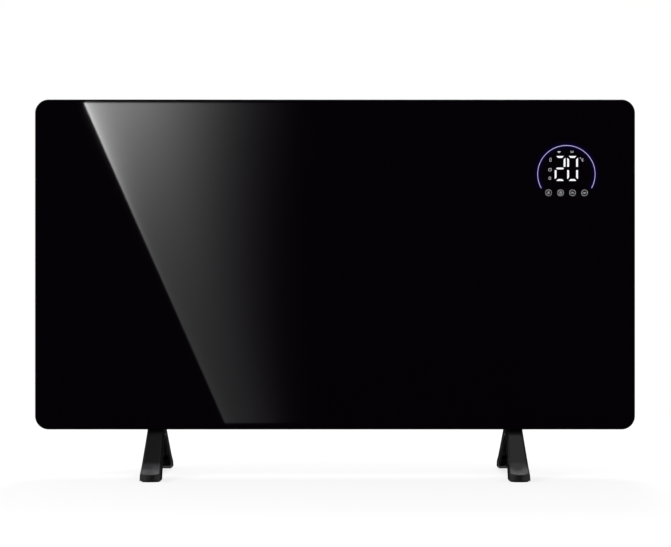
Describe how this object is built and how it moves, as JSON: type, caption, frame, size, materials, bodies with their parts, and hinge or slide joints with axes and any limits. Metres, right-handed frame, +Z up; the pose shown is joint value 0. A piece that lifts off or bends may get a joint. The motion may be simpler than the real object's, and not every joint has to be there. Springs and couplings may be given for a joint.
{
  "type": "infrared panel heater",
  "caption": "Free-standing infrared panel heater with a black glass front, lit touch display, vented steel case and splayed moulded feet.",
  "frame": {"origin": "floor level, midway between the feet and midway between their toes", "axes": "+Z up, -Y towards the viewer of the glass, +X to the viewer's right"},
  "size_m": [0.8, 0.2378, 0.503],
  "materials": {
    "black_glass": "polished, printed black on the back",
    "silicone": "satin",
    "zinc_steel": "zinc plated",
    "powder_coat": "fine matt powder coat",
    "case_plastic": "fine moulded grain",
    "foot_plastic": "satin moulded",
    "rubber": "matt",
    "heating_film": "clear amber film",
    "resistive_alloy": "etched foil",
    "brass": "turned",
    "mica": "flaky pearl sheen",
    "reflector_foil": "bright rolled",
    "insulation": "pressed mineral fibre",
    "cutout_body": "moulded phenolic",
    "circuit_board": "solder mask",
    "light_plastic": "milky",
    "conductive_foam": "open cell",
    "connector_plastic": "moulded",
    "ribbon": "ribbed",
    "relay_plastic": "moulded",
    "switch_plastic": "polished",
    "sensor_resin": "dipped resin",
    "screw_steel": "plated",
    "lead_sleeve": "silicone sleeve"
  },
  "bodies": {
    "heater": {"arc_light_guide": "light_plastic", "board_plug": "connector_plastic", "board_screws": "screw_steel", "board_standoffs": "brass", "bond_bead": "silicone", "carrier_screws": "screw_steel", "chassis_frame": "zinc_steel", "control_carrier": "case_plastic", "cord_gland": "case_plastic", "cover_screws": "screw_steel", "cross_bar_left": "zinc_steel", "cross_bar_right": "zinc_steel", "cross_bar_screws": "screw_steel", "digit_module": "light_plastic", "display_board": "circuit_board", "display_plug": "connector_plastic", "element_leads": "lead_sleeve", "film_terminals": "brass", "foot_bracket_left": "zinc_steel", "foot_bracket_right": "zinc_steel", "foot_left": "foot_plastic", "foot_pads_left": "rubber", "foot_pads_right": "rubber", "foot_right": "foot_plastic", "foot_screws": "screw_steel", "front_glass": "black_glass", "gland_nut": "case_plastic", "heat_shield": "zinc_steel", "heating_film": "heating_film", "heating_track": "resistive_alloy", "icon_lights": "light_plastic", "insulation_board": "insulation", "lead_grommet": "rubber", "mica_sheet": "mica", "outlet_grille": "case_plastic", "overheat_cutout_left": "cutout_body", "overheat_cutout_right": "cutout_body", "power_board": "circuit_board", "rear_cover": "powder_coat", "reflector_foil": "reflector_foil", "relay_left": "relay_plastic", "relay_right": "relay_plastic", "ribbon_cable": "ribbon", "room_sensor": "sensor_resin", "sensor_cage": "case_plastic", "sensor_lead": "lead_sleeve", "sensor_plug": "connector_plastic", "shield_screws": "screw_steel", "supply_module": "relay_plastic", "switch_housing": "switch_plastic", "switch_leads": "lead_sleeve", "switch_terminals": "brass", "terminal_block": "connector_plastic", "tilt_housing": "case_plastic", "tilt_lid": "case_plastic", "touch_pads": "conductive_foam"},
    "rocker": {"switch_rocker": "switch_plastic"},
    "pendulum": {"tilt_pendulum": "brass"}
  },
  "joints": [
    {"name": "rocker_hinge", "type": "hinge", "parent": "heater", "child": "rocker", "pos_m": [0.3715, 0.007, 0.165], "axis": [0, 1, 0], "range_deg": [0, 20]},
    {"name": "tilt_swing", "type": "hinge", "parent": "heater", "child": "pendulum", "pos_m": [0.3147, 0.0124, 0.199], "axis": [1, 0, 0], "range_deg": [-25, 25]}
  ]
}
